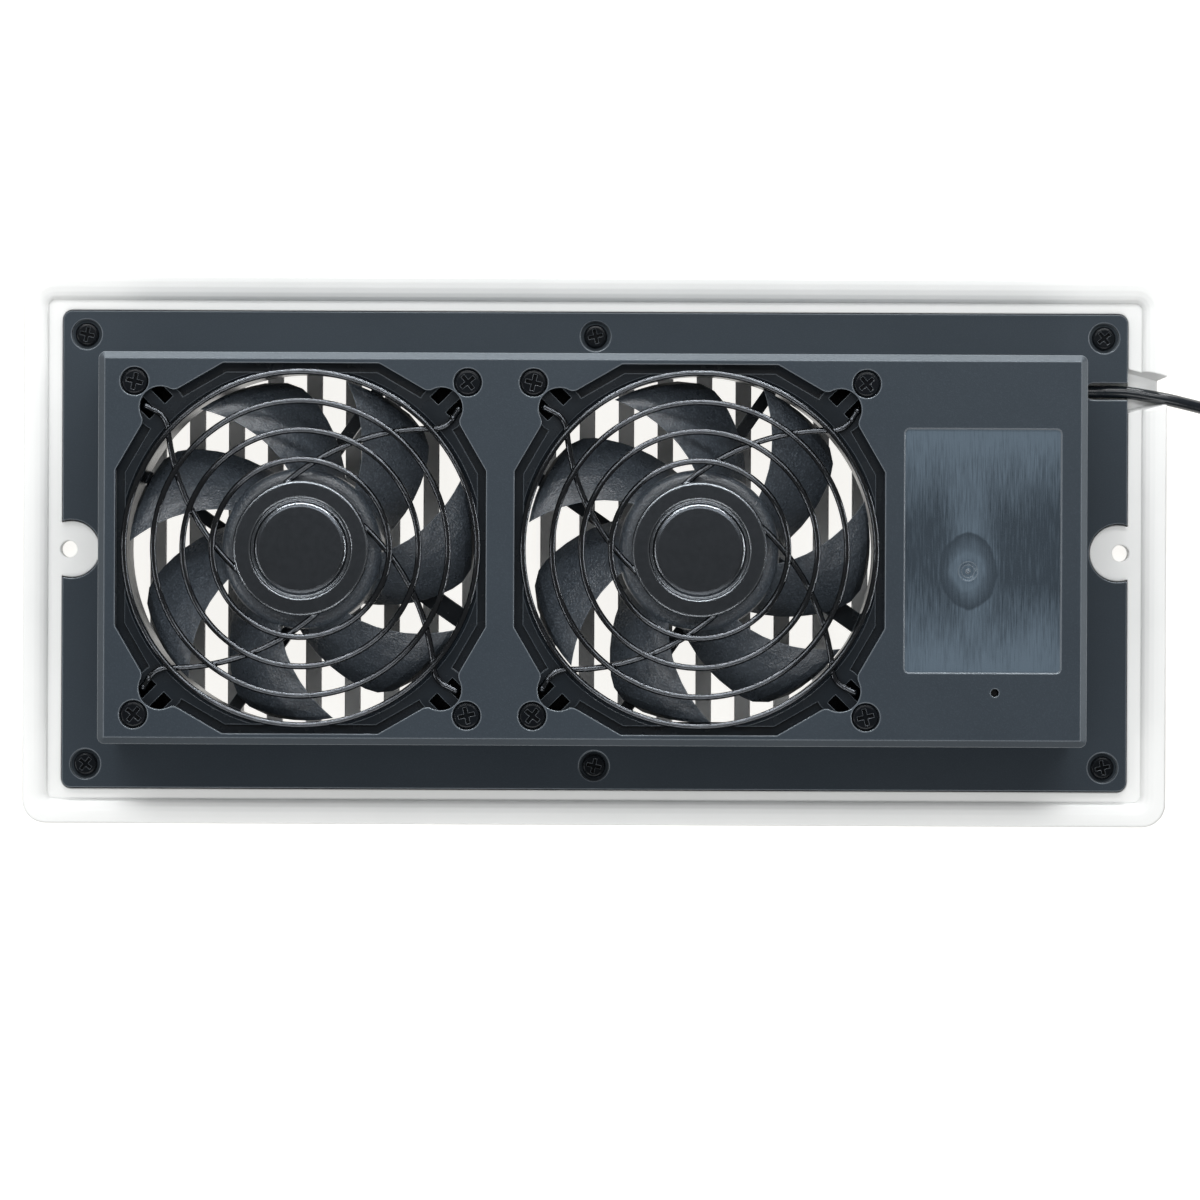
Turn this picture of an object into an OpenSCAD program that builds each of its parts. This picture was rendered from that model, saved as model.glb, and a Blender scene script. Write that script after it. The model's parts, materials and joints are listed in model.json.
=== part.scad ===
// Register booster fan: a grille faceplate, a duct housing with two axial fans, and a control bay.
// Z = 0 is the room side of the faceplate and +Z points into the duct. X runs along the register.
// The origin is the middle of the faceplate. Each fan is drawn about its own axis, back face at Z = 0.

/* [Faceplate] */
// How far the rim reaches past the housing at each end
plate_margin_x = 23.4; // [22:0.1:40]
// How far the rim reaches past the housing along each side
plate_margin_y = 21.35; // [20:0.05:40]
// How far the housing sits off the middle of the faceplate
housing_shift = -0.5; // [-2:0.1:2]
// Radius of the rim's outer corners
plate_corner_r = 6; // [5:0.5:12]
// Height of the rim over the room side
rim_h = 8.5; // [8.2:0.1:12]
// Width of the sloping rim, seen from the duct side
rim_run = 6.2; // [5:0.1:7]
// Width of the rim's edge, up to where its inner side rounds down to the ledge
rim_edge = 1.6; // [1.2:0.1:2.5]
// Rounding of the rim's outer edge
rim_round = 0.4; // [0.2:0.1:0.6]
// How far the ledge between the rim and the flange lies under the flange's top
ledge_drop = 1.3; // [0.8:0.1:3]
// How far the room side draws in from the rim's edge
rim_slope = 4; // [1:0.5:4.5]
// Thickness of the faceplate's floor
floor_t = 2.5; // [2:0.1:3.5]
// Distance from a mounting hole to the end of the faceplate
mount_inset = 11.5; // [9:0.1:13]
// Diameter of each mounting hole
mount_hole_d = 4.3; // [3.5:0.1:5]
// Distance from one slat to the next
slat_pitch = 10; // [7:0.5:14]
// Width of a slat
slat_w = 4; // [2.5:0.1:5]
// Length of the grille's gaps
slot_len = 90; // [70:1:92]
// Diameter of the bosses that the housing stands on
boss_d = 9; // [7:0.5:11]

/* [Duct housing] */
// Thickness of the flange
flange_t = 3; // [2.8:0.1:4]
// Gap between the flange and the faceplate's floor
flange_lift = 2; // [1.5:0.1:3]
// Distance from the flange's ends to the foot of the sloping rim
flange_end_gap = 3.8; // [3:0.1:5]
// Distance from the flange's sides to the foot of the sloping rim
flange_side_gap = 2.9; // [2:0.1:4]
// Radius of the flange's corners
flange_corner_r = 2.3; // [1.5:0.1:5]
// Radius of the two notches round the mounting holes
notch_r = 7.5; // [6:0.5:9]
// Thickness of the housing's side walls
wall_t = 2; // [1.6:0.1:3]
// Thickness of the housing's top
top_t = 2.5; // [2.2:0.1:3.5]
// Bevel round the housing's top
bevel = 1.7; // [0.8:0.1:1.8]
// Depth of the air space between the grille and the fans
plenum_h = 15.5; // [13:0.5:30]
// Length of the control bay
bay_len = 41; // [40:0.5:50]
// Length of the recessed panel over the control bay
panel_len = 60.5; // [50:0.5:75]
// Width of the recessed panel
panel_wid = 38.8; // [30:0.1:40]
// Depth of the recessed panel
panel_depth = 0.5; // [0.3:0.1:0.8]
// Diameter of the hole over the temperature sensor
sensor_hole_d = 2; // [1.5:0.1:3]

/* [Fans] */
// Width of a fan's square frame
fan_size = 92; // [90:1:100]
// Thickness of a fan
fan_t = 25; // [25:0.5:32]
// Distance from a fan's screws to its sides
fan_screw_inset = 4.75; // [4.5:0.05:6]
// Gap between the two fans
fan_gap = 6.8; // [5:0.1:12]
// Gap between the left fan and the housing's end
fan_end_gap = 2.3; // [1:0.1:6]
// Gap between the right fan and the control bay's wall
bay_gap = 5.1; // [4:0.1:8]
// Gap between a fan and each side wall
fan_side_gap = 0.65; // [0.3:0.05:2]
// Distance from the fan's bore to its sides
bore_inset = 2; // [1.5:0.1:4]
// Gap between the blades' tips and the bore
tip_gap = 1.1; // [0.8:0.1:2]
// Radius of the hub
hub_r = 20; // [19:0.5:24]
// Number of blades
blade_count = 7; // [5:1:7]
// Thickness of a blade
blade_t = 1.5; // [1:0.1:2]
// Thickness of the struts behind the blades
strut_t = 3; // [2.8:0.1:4]
// Resting angle of the left impeller
left_turn = 150.8; // [0:0.1:360]
// Resting angle of the right impeller
right_turn = 144; // [0:0.1:360]
// Diameter of the motor's shaft
shaft_d = 3; // [2:0.1:4]
// Radial gap between the shaft and its bearing
shaft_play = 0.03; // [0.02:0.01:0.08]

/* [Fan openings and finger guards] */
// How far the flat sides of each fan opening stand outside the bore
opening_gap = 1.9; // [1.2:0.1:2]
// Length of the flat sides of each fan opening
opening_flat = 38.6; // [30:0.1:42]
// Distance from a fan's screw to the middle of the lobe beside it
lobe_inset = 9.1; // [8.9:0.1:10]
// Radius of the corner lobes
lobe_r = 5.2; // [4:0.1:5.4]
// Thickness of the guard's wire
wire_d = 1.5; // [1.2:0.1:2]
// How far the guard's outer ring stands inside the bore
ring_inset = 0.2; // [0.1:0.1:2]
// Distance from one ring to the next
ring_pitch = 7.27; // [5:0.01:7.5]
// Number of rings
ring_count = 4; // [2:1:4]
// Radius of the guard's middle disc
disc_r = 16.8; // [14:0.1:17]

/* [Screws] */
// Head diameter of the housing's screws
housing_head_d = 6; // [5:0.1:6.5]
// Thread diameter of the housing's screws
housing_thread_d = 3; // [2.5:0.1:3.5]
// Head diameter of the fans' screws
fan_head_d = 6.7; // [6:0.1:6.8]
// Thread diameter of the fans' screws
fan_thread_d = 4.2; // [3.5:0.1:4.2]
// Distance from the flange's edges to its screws
flange_screw_inset = 6; // [5.5:0.1:7]

/* [Controls] */
// Thickness of the circuit boards
board_t = 1.6; // [1:0.1:2]
// Height of the control board over the faceplate's floor
board_lift = 6.5; // [6:0.1:8]
// Diameter of the buttons
button_d = 8; // [6:0.1:9]
// Travel of the buttons
button_travel = 0.6; // [0.3:0.1:0.7]
// Length of the display's window, along the register
window_len = 30; // [20:1:33]
// Width of the display's window
window_wid = 16; // [10:1:20]

/* [Power cord] */
// Diameter of the cord
cord_d = 3.2; // [3.2:0.1:3.6]
// Gap between the turns of the coil
coil_gap = 0.45; // [0.42:0.01:0.6]
// Width of the power adapter's case
adapter_wid = 32; // [28:1:40]
// Depth of the power adapter's case
adapter_depth = 26; // [22:1:32]
// Length of the power adapter's case
adapter_len = 52; // [40:1:60]

/* [Hidden] */

$fn = 64;
// A cut runs this far past the face that it opens
over = 1;
// Clearance between a loose part and its hole
loose = 0.3;
// Clearance between parts that are held together
snug = 0.1;

// Housing, from the fans and the control bay outwards
divider_t = 2;
fan_pitch = fan_size + fan_gap;
plenum_len = fan_end_gap + fan_pitch + fan_size + bay_gap;
box_len = plenum_len + divider_t + bay_len + 2 * wall_t;
box_wid = fan_size + 2 * (fan_side_gap + wall_t);
box_corner_r = 1.8;
box_x0 = housing_shift - box_len / 2;
plenum_x0 = box_x0 + wall_t;
plenum_x1 = plenum_x0 + plenum_len;
bay_x0 = plenum_x1 + divider_t;
bay_x1 = bay_x0 + bay_len;
bay_x = (bay_x0 + bay_x1) / 2;
inner_wid = box_wid - 2 * wall_t;
fan_x = [plenum_x0 + fan_end_gap + fan_size / 2, plenum_x0 + fan_end_gap + fan_size / 2 + fan_pitch];

// Fan and opening, from the fan's sides inwards
fan_screw_pitch = fan_size - 2 * fan_screw_inset;
bore_r = fan_size / 2 - bore_inset;
opening_r = bore_r + opening_gap;
opening_slant = 30;
opening_fillet = 2.5;
lobe_at = fan_screw_pitch / sqrt(2) - lobe_inset;
ring_r = bore_r - ring_inset;

// Levels
flange_z0 = floor_t + flange_lift;
flange_z1 = flange_z0 + flange_t;
skirt_z = floor_t + snug;
fan_z = floor_t + plenum_h;
top_z0 = fan_z + fan_t;
top_z1 = top_z0 + top_t;

// Faceplate and flange, from the housing outwards
plate_len = box_len + 2 * plate_margin_x;
plate_wid = box_wid + 2 * plate_margin_y;
tray_corner = 1.8;
tray_steps = 5;
ledge_z = flange_z1 - ledge_drop;
mount_x = plate_len / 2 - mount_inset;
flange_len = plate_len - 2 * (rim_run + flange_end_gap);
flange_wid = plate_wid - 2 * (rim_run + flange_side_gap);
flange_screw_x = flange_len / 2 - flange_screw_inset;
flange_screw_y = flange_wid / 2 - flange_screw_inset;
notch_offset = 0.7;

// Grille, centred on the air space
grille_x = (plenum_x0 + plenum_x1) / 2;
grille_margin = 0.9;
gap_w = slat_pitch - slat_w;
gap_count = floor((plenum_len + slat_w - 2 * grille_margin) / slat_pitch);

// Recessed panel, gate mark and sensor
panel_x = bay_x - 3.5;
panel_corner_r = 1.2;
gate_at = [panel_x - 3.6, -5];
gate_r = 2.4;
gate_foot_r = 1.6;
gate_nub_r = 0.8;
gate_depth = 0.5;
sensor_at = [panel_x + 3.1, -panel_len / 2 - 4.85];

// Screw sizes that follow from the heads and threads
head_h = 1.5;
// Turn between one screw's recess and the next one's
screw_twist = 13;
flange_pocket_d = housing_head_d + 1.8;
flange_pocket_depth = head_h + snug;
fan_pocket_d = fan_head_d + 0.4;
fan_pocket_depth = head_h;
fan_screw_len = 12;

// Motor, in the fan's own frame
base_r = hub_r - 0.5;
base_t = 2;
bearing_r = 4;
tube_r = bearing_r + 1.2;
hub_z0 = 4.5;
hub_z1 = fan_t - 2;
hub_wall = 1.5;
hub_top = 2;
hub_round = 2.5;
yoke_r = hub_r - hub_wall;
yoke_t = 1;
magnet_r = yoke_r - yoke_t;
magnet_t = 2;
air_gap = 0.5;
core_r = magnet_r - magnet_t - air_gap;
core_z0 = 7;
core_z1 = core_z0 + 6;
core_neck_w = 5;
core_shoe_gap = 3;
core_shoe_t = 2;
core_ring_t = 2;
winding_over = 1.6;
motor_board_z = base_t + 1;
bearing_z0 = 3;
bearing_z1 = hub_z1 - 6.5;
tube_z1 = bearing_z1 + 1;
bush_r = 4;
bush_z0 = tube_z1 + 1;
shaft_z0 = 1.6;
shaft_z1 = hub_z1 - 0.8;
clip_t = 0.5;
clip_z = bearing_z0 - clip_t - snug;
clip_groove = 0.3;

// Blades: edge angles are measured from the leading edge at the hub
tip_r = bore_r - tip_gap;
blade_stations = 9;
blade_steps = 5;
blade_root_r = hub_r - hub_wall / 2;
lead_sweep = 27;
trail_at_hub = -41.5;
trail_sweep = 36;
trail_power = 0.85;
corner_share = 0.16;
corner_sweep = 10;
blade_lead_z = [hub_z1 - 1.5, hub_z1 - 2];
blade_trail_z = [hub_z0 + 2, hub_z0 + 4];
blade_camber = 1.2;

// Struts, skewed off the radius; the last one carries the lead
strut_turn = 70;
strut_skew = -15;
strut_w = 3.2;
lead_strut = 3;
lead_strut_w = 5;
lead_d = 2;
lead_slot = lead_d + 0.5;
frame_flange_t = 3.5;
frame_wall = 1.6;
frame_corner_r = 3.5;
strut_mid = (base_r + bore_r) / 2;

// Front of the fan's frame, inside the housing's opening: a lip, and two slots in each corner for hooks
lip_inset = 2.2;
lip_under = 0.7;
lip_depth = 1.2;
corner_web = 2.6;
corner_slot_len = 5.3;
corner_slot_wid = 2.8;

// Finger guard, over the fan's front face
guard_seat = 0.05;
guard_weld = 0.25;
spoke_z = fan_t + guard_seat + wire_d / 2;
ring_z = spoke_z + wire_d - guard_weld;
spoke_turns = [0, 84, 180, 264];
spoke_bend_r = 5.5;
spoke_bend_at = (ring_r + 0.5) * [cos(138.2), sin(138.2)];
spoke_end_at = (disc_r - 0.45) * [cos(201.3), sin(201.3)];
spoke_dir = 5.3;
spoke_bend_turn = 59;
spoke_stub = 2.6;
hook_depth = 3;
// A bend in the wire is this much thicker than the wire
wire_bead = 0.15;

// Control bay
board_z = floor_t + board_lift;
board_wid = bay_len - 5;
board_y0 = -inner_wid / 2 + 4.65;
board_y1 = inner_wid / 2 - 10.65;
board_mid = (board_y0 + board_y1) / 2;
board_len = board_y1 - board_y0;
board_inset = 3.5;
board_screw_d = 2.5;
board_head_d = 4.6;
board_boss_d = 5;
board_head_h = 1.4;
window_y = 14;
window_ledge = 2;
window_t = 1;
window_set = 0.2;
button_y = -12;
button_pitch = 12;
button_set = 0.4;
button_lip = 1.2;
button_lip_t = 1;
button_lip_z = floor_t + snug;
stem_z = button_lip_z + button_lip_t + 1;
stem_d = 3;
switch_z = stem_z + button_travel + snug;
switch_w = 6;
lead_y = -inner_wid / 2 + 2.4;
fan_plug = [4, 6, 5];
fan_plug_at = [[bay_x0 + 5, lead_y + 9], [bay_x0 + 12, lead_y + 12]];
power_plug = [6, 8, 6];
power_plug_at = [bay_x + 6, board_y1 - 10];
plug_z = 3;
capacitor_d = 8;
chip_len = 9;
chip_h = 1.6;
coil_inset = 6;
capacitor_h = 11;
capacitor_y = board_y1 - 18;
sensor_d = 1.6;
sensor_boss_d = sensor_hole_d + 2.4;
sensor_boss_h = 4;

// Cord: it leaves through a slot in the flange and lies on what the faceplate lies on
cord_y = inner_wid / 2 - 5.35;
slot_w = cord_d + 1.2;
slot_x = bay_x1 + wall_t + 5.3;
groove_h = cord_d + 0.5;
gland_x0 = bay_x1 - 3.1;
gland_x1 = bay_x1 + wall_t + 2.4;
scoop_y = cord_y + 0.2;
scoop_z = 3.9;
scoop_w_in = 9.8;
scoop_w_out = cord_d + 0.6;
scoop_flare = 1.9;
// From the gland's end and the cord's line in X and Y, and the floor in Z
run_path = [
    [0, 0, 4.3], [3.5, 0, 4.3], [7.5, 0, 5.1], [11.5, -0.2, 5.8],
    [17.3, -1.1, 6], [22.4, -2, 5.6], [26.5, -2.9, 4.7], [30.5, -3.8, 3.6],
    [35, -4.9, 2.7], [40.5, -6.2, 2.2], [46.5, -7.1, 2.2]
];
run_points = [for (p = run_path) [gland_x1 + p[0], cord_y + p[1], p[2]]];

// Coil of the length that is put away, in four layers
coil_at = [gland_x1 + 59.5, cord_y - 32.3];
coil_layers = 4;
coil_turns = 14 + 1 / 3;
coil_mid_r = 18.25;
coil_z = 2.5;
coil_start = 90;
coil_rings = 24;
coil_sides = 6;
coil_pitch = cord_d + coil_gap;
layer_turns = coil_turns / coil_layers;
coil_in_r = coil_mid_r - coil_pitch * layer_turns / 2;
coil_out_r = coil_mid_r + coil_pitch * layer_turns / 2;
climb_turns = 0.5;
tie_w = 4;
tie_t = 0.6;
tie_turn = 200;

// Power adapter, lying on its side
adapter_at = coil_at + [13, -47];
adapter_r = 4;
adapter_cover_t = 3;
relief_len = 13;
prong_len = 16;
prong_w = 6.3;
prong_t = 1.5;
prong_pitch = 12.7;
prong_hole_d = 3.2;

// The cord's last stretch, from the coil into the adapter's strain relief
tail_path = [[3.7, 26.2, -2.2], [2, 23, -1.4], [0.6, 19.6, -0.5], [0, relief_len + cord_d, 0], [0, relief_len, 0]];
tail_points = [for (p = tail_path) [adapter_at[0] + p[0], adapter_at[1] + p[1], adapter_wid / 2 + p[2]]];

function clamp01(v) = min(1, max(0, v));
function eased(v) = clamp01(v) * clamp01(v) * (3 - 2 * clamp01(v));
function mix(a, b, t) = a + (b - a) * t;
function unit(v) = v / norm(v);

// A flat rectangle with round corners
module round_rect(len, wid, r) {
    square([len - 2 * r, wid], center = true);
    square([len, wid - 2 * r], center = true);
    for (sx = [-1, 1], sy = [-1, 1])
        translate([sx * (len / 2 - r), sy * (wid / 2 - r)])
            circle(r);
}

// A block with round corners whose sides slope: its foot is drawn in or out by the change of radius
module sloped_block(len, wid, r0, r1, h, corner) {
    hull()
        for (sx = [-1, 1], sy = [-1, 1])
            translate([sx * (len / 2 - corner), sy * (wid / 2 - corner), 0])
                cylinder(r1 = r0, r2 = r1, h = h, $fn = 32);
}

// A block with round corners about fixed lines, through levels of [corner radius, height]
module lofted_block(len, wid, corner, levels) {
    steps = 8;
    ring = 4 * (steps + 1);
    last = len(levels) - 1;
    polyhedron(
        points = [
            for (level = levels, q = [0:3], a = [0:steps])
                let (turn = 90 * (q + a / steps))
                [
                    (q == 0 || q == 3 ? 1 : -1) * (len / 2 - corner) + level[0] * cos(turn),
                    (q < 2 ? 1 : -1) * (wid / 2 - corner) + level[0] * sin(turn),
                    level[1]
                ]
        ],
        faces = [
            [for (i = [0:ring - 1]) i],
            [for (i = [ring - 1:-1:0]) last * ring + i],
            for (k = [0:last - 1], i = [0:ring - 1])
                let (next = (i + 1) % ring)
                [k * ring + i, (k + 1) * ring + i, (k + 1) * ring + next, k * ring + next]
        ]
    );
}

// A straight block between two corners
module block(low, high) {
    translate(low)
        cube(high - low);
}

// A round tube along points, with flat ends square to its first and last stretch
function tube_dir(p, i) =
    i == 0 ? unit(p[1] - p[0]) :
    i == len(p) - 1 ? unit(p[i] - p[i - 1]) :
    unit(unit(p[i] - p[i - 1]) + unit(p[i + 1] - p[i]));
function tube_ring(at, dir, r, sides) =
    let (side = unit(cross(dir, [0, 0, 1])), up = cross(side, dir))
    [for (k = [0:sides - 1]) at + r * (cos(360 * (k + 0.5) / sides) * side + sin(360 * (k + 0.5) / sides) * up)];
module tube(p, d, sides) {
    last = len(p) - 1;
    points = [for (i = [0:last]) each tube_ring(p[i], tube_dir(p, i), d / 2, sides)];
    walls = [
        for (i = [0:last - 1], k = [0:sides - 1])
            let (a = i * sides + k, b = i * sides + (k + 1) % sides)
            each [[a, a + sides, b], [b, a + sides, b + sides]]
    ];
    starts = [for (k = [1:sides - 2]) [0, k, k + 1]];
    ends = [for (k = [1:sides - 2]) [last * sides, last * sides + k + 1, last * sides + k]];
    polyhedron(points = points, faces = concat(walls, starts, ends));
}

// A domed cross-head screw; its head sits on Z = 0
module screw(head_d, thread_d, length) {
    rim = 0.55;
    depth = 1;
    difference() {
        union() {
            rotate_extrude()
                polygon(concat(
                    [[0, 0], [head_d / 2, 0]],
                    [for (a = [0:15:90]) [mix(head_d / 2 * 0.72, head_d / 2, cos(a)), mix(rim, head_h - snug, sin(a))]],
                    [[0, head_h - snug]]
                ));
            translate([0, 0, -length])
                cylinder(d = thread_d, h = length + snug);
        }
        for (turn = [0, 90])
            rotate(turn)
                translate([0, 0, head_h])
                    cube([head_d * 0.62, head_d * 0.15, 2 * depth], center = true);
    }
}

// Where screws go, with each of them turned by its own share of twist
module at_flange_screws(twist = 0) {
    for (sx = [-1, 0, 1], sy = [-1, 1])
        translate([sx * flange_screw_x, sy * flange_screw_y, 0])
            rotate(twist * (2 * sx + sy))
                children();
}

module at_fan_screws(twist = 0) {
    for (sx = [-1, 1], sy = [-1, 1])
        translate([sx * fan_screw_pitch / 2, sy * fan_screw_pitch / 2, 0])
            rotate(twist * (2 * sx + sy))
                children();
}

module at_fan(i) {
    translate([fan_x[i], 0, fan_z])
        children();
}

module at_board_screws() {
    for (sx = [-1, 1], sy = [-1, 1])
        translate([bay_x + sx * (board_wid / 2 - board_inset), board_mid + sy * (board_len / 2 - board_inset), 0])
            children();
}

module at_button(i) {
    translate([bay_x + (i - 1) * button_pitch, button_y, 0])
        children();
}

// Faceplate
module grille_gaps() {
    for (i = [0:gap_count - 1])
        translate([grille_x + (i - (gap_count - 1) / 2) * slat_pitch, 0, -over])
            linear_extrude(floor_t + 2 * over)
                square([gap_w, slot_len], center = true);
}

// A level of the rim's inner side, from the ledge up: how far in it is, and its height
function tray_side(i) =
    let (a = 90 - 90 * i / tray_steps)
    [rim_edge + (rim_run - rim_edge) * sin(a), ledge_z + (rim_h - ledge_z) * cos(a)];

module tray() {
    inset = rim_run + tray_corner;
    lofted_block(plate_len, plate_wid, inset, [
        for (i = [0:tray_steps]) [inset - tray_side(i)[0], tray_side(i)[1]],
        [inset - rim_edge, rim_h + over]
    ]);
}

// The flange's seat, sunk into the ledge; a round tab with the mounting hole stays at each end
module flange_seat() {
    translate([0, 0, floor_t])
        linear_extrude(ledge_z)
            difference() {
                round_rect(flange_len + 2 * loose, flange_wid + 2 * loose, flange_corner_r + loose);
                for (sx = [-1, 1])
                    translate([sx * (mount_x - notch_offset), 0])
                        circle(notch_r - loose);
            }
}

// The way through the rim and the ledge for the cord, wider towards the housing
module scoop() {
    hull() {
        translate([flange_len / 2, scoop_y, 0])
            rotate([90, 0, 90])
                linear_extrude(snug)
                    polygon([
                        [-scoop_w_in / 2, scoop_z], [scoop_w_in / 2, scoop_z],
                        [scoop_w_in / 2 + scoop_flare, rim_h + over], [-scoop_w_in / 2 - scoop_flare, rim_h + over]
                    ]);
        translate([plate_len / 2 + over, scoop_y, 0])
            rotate([90, 0, 90])
                linear_extrude(snug)
                    polygon([
                        [-scoop_w_out / 2, scoop_z], [scoop_w_out / 2, scoop_z],
                        [scoop_w_out / 2 + scoop_flare, rim_h + over], [-scoop_w_out / 2 - scoop_flare, rim_h + over]
                    ]);
    }
}

module faceplate() {
    color("whitesmoke")
        difference() {
            union() {
                difference() {
                    lofted_block(plate_len, plate_wid, plate_corner_r, [
                        [plate_corner_r - rim_slope, 0], [plate_corner_r, rim_h - rim_round],
                        [plate_corner_r - rim_round, rim_h]
                    ]);
                    tray();
                    flange_seat();
                }
                at_flange_screws()
                    cylinder(d = boss_d, h = flange_z0);
                at_board_screws()
                    cylinder(d = board_boss_d, h = board_z);
            }
            grille_gaps();
            at_flange_screws()
                translate([0, 0, 1])
                    cylinder(d = housing_thread_d, h = flange_z0);
            at_board_screws()
                translate([0, 0, 1])
                    cylinder(d = board_screw_d, h = board_z);
            for (sx = [-1, 1])
                translate([sx * mount_x, 0, 0]) {
                    translate([0, 0, -over])
                        cylinder(d = mount_hole_d, h = ledge_z + 2 * over);
                    translate([0, 0, -0.01])
                        cylinder(d1 = mount_hole_d + 2.8, d2 = mount_hole_d, h = 1.4);
                }
            scoop();
            for (i = [0:2])
                at_button(i)
                    translate([0, 0, -over])
                        cylinder(d = button_d + 2 * loose, h = floor_t + 2 * over);
            translate([bay_x, window_y, 0]) {
                cube([window_len, window_wid, 4 * floor_t], center = true);
                cube([window_len + 2 * window_ledge, window_wid + 2 * window_ledge,
                    2 * (window_t + window_set)], center = true);
            }
        }
}

// Duct housing
function turned(p, a) = [p[0] * cos(a) - p[1] * sin(a), p[0] * sin(a) + p[1] * cos(a)];

// Four flat sides, with two slanted ones between each two, that meet on the fan's diagonals
module opening_outline(grow) {
    side = opening_r + grow;
    flat = opening_flat / 2 + grow * tan(opening_slant / 2);
    corner = (side + flat * tan(opening_slant)) / (1 + tan(opening_slant));
    polygon([
        for (turn = [0:90:270])
            each [turned([side, flat], turn), turned([corner, corner], turn), turned([flat, side], turn)]
    ]);
}

module at_lobes() {
    for (turn = [45:90:315])
        rotate(turn)
            translate([lobe_at, 0])
                children();
}

module fan_opening() {
    offset(r = -opening_fillet)
        offset(r = opening_fillet, $fn = 48) {
            opening_outline(0);
            at_lobes()
                circle(lobe_r, $fn = 32);
        }
}

module duct_housing() {
    box_h = top_z1 - skirt_z;
    color("darkslategray")
        difference() {
            union() {
                translate([housing_shift, 0, skirt_z])
                    linear_extrude(box_h - bevel)
                        round_rect(box_len, box_wid, box_corner_r);
                translate([housing_shift, 0, top_z1 - bevel])
                    sloped_block(box_len, box_wid, box_corner_r, box_corner_r - bevel, bevel, box_corner_r);
                translate([0, 0, flange_z0])
                    linear_extrude(flange_t)
                        round_rect(flange_len, flange_wid, flange_corner_r);
            }
            block([plenum_x0, -inner_wid / 2, -over], [plenum_x1, inner_wid / 2, top_z0]);
            difference() {
                block([bay_x0, -inner_wid / 2, -over], [bay_x1, inner_wid / 2, top_z0]);
                translate([sensor_at[0], sensor_at[1], top_z0 - sensor_boss_h])
                    cylinder(d = sensor_boss_d, h = sensor_boss_h + over);
            }
            for (x = fan_x)
                translate([x, 0, top_z0 - over])
                    linear_extrude(top_t + 2 * over)
                        fan_opening();
            for (x = fan_x)
                translate([x, 0, 0])
                    at_fan_screws() {
                        translate([0, 0, top_z1 - fan_pocket_depth])
                            cylinder(d = fan_pocket_d, h = fan_pocket_depth + over);
                        translate([0, 0, top_z0 - over])
                            cylinder(d = fan_thread_d + 2 * snug, h = top_t + 2 * over);
                    }
            at_flange_screws() {
                translate([0, 0, flange_z1 - flange_pocket_depth])
                    cylinder(d = flange_pocket_d, h = flange_pocket_depth + over);
                translate([0, 0, flange_z0 - over])
                    cylinder(d = housing_thread_d + 2 * loose, h = flange_t + 2 * over);
            }
            for (sx = [-1, 1])
                translate([sx * (mount_x - notch_offset), 0, flange_z0 - over])
                    cylinder(r = notch_r, h = flange_t + 2 * over);
            translate([panel_x, 0, top_z1 - panel_depth])
                linear_extrude(panel_depth + over)
                    round_rect(panel_wid, panel_len, panel_corner_r);
            translate([gate_at[0], gate_at[1], top_z1 - panel_depth - gate_depth])
                difference() {
                    cylinder(r1 = gate_foot_r, r2 = gate_r, h = gate_depth + 0.01);
                    translate([0, 0, -over])
                        cylinder(r1 = gate_nub_r, r2 = gate_nub_r / 2, h = over + gate_depth * 0.8);
                }
            translate([sensor_at[0], sensor_at[1], top_z0 - sensor_boss_h - over])
                cylinder(d = sensor_hole_d, h = top_z1);
            cord_exit();
            block([plenum_x1 - over, -inner_wid / 2, fan_z - 6], [bay_x0 + over, -inner_wid / 2 + 8, fan_z + 2]);
        }
}

module cord_exit() {
    translate([0, cord_y - slot_w / 2, 0]) {
        translate([slot_x, 0, flange_z0 - over])
            cube([flange_len, slot_w, flange_t + 2 * over]);
        translate([gland_x0 - 0.5, 0, 0])
            cube([slot_x - gland_x0 + 0.5, slot_w, floor_t + groove_h]);
    }
    translate([slot_x, cord_y, 0])
        cylinder(d = slot_w, h = flange_z1 + over);
}

module housing_screws() {
    color("black")
        at_flange_screws(screw_twist)
            translate([0, 0, flange_z1 - flange_pocket_depth])
                screw(housing_head_d, housing_thread_d, flange_z1 - flange_pocket_depth - 1.1);
}

// Fans
module strut(i) {
    rotate(strut_turn + 90 * i)
        translate([strut_mid, 0, 0])
            rotate(strut_skew)
                children();
}

module strut_bar(wid, h) {
    length = bore_r - base_r + 5;
    translate([-length / 2, -wid / 2, 0])
        cube([length, wid, h]);
}

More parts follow.
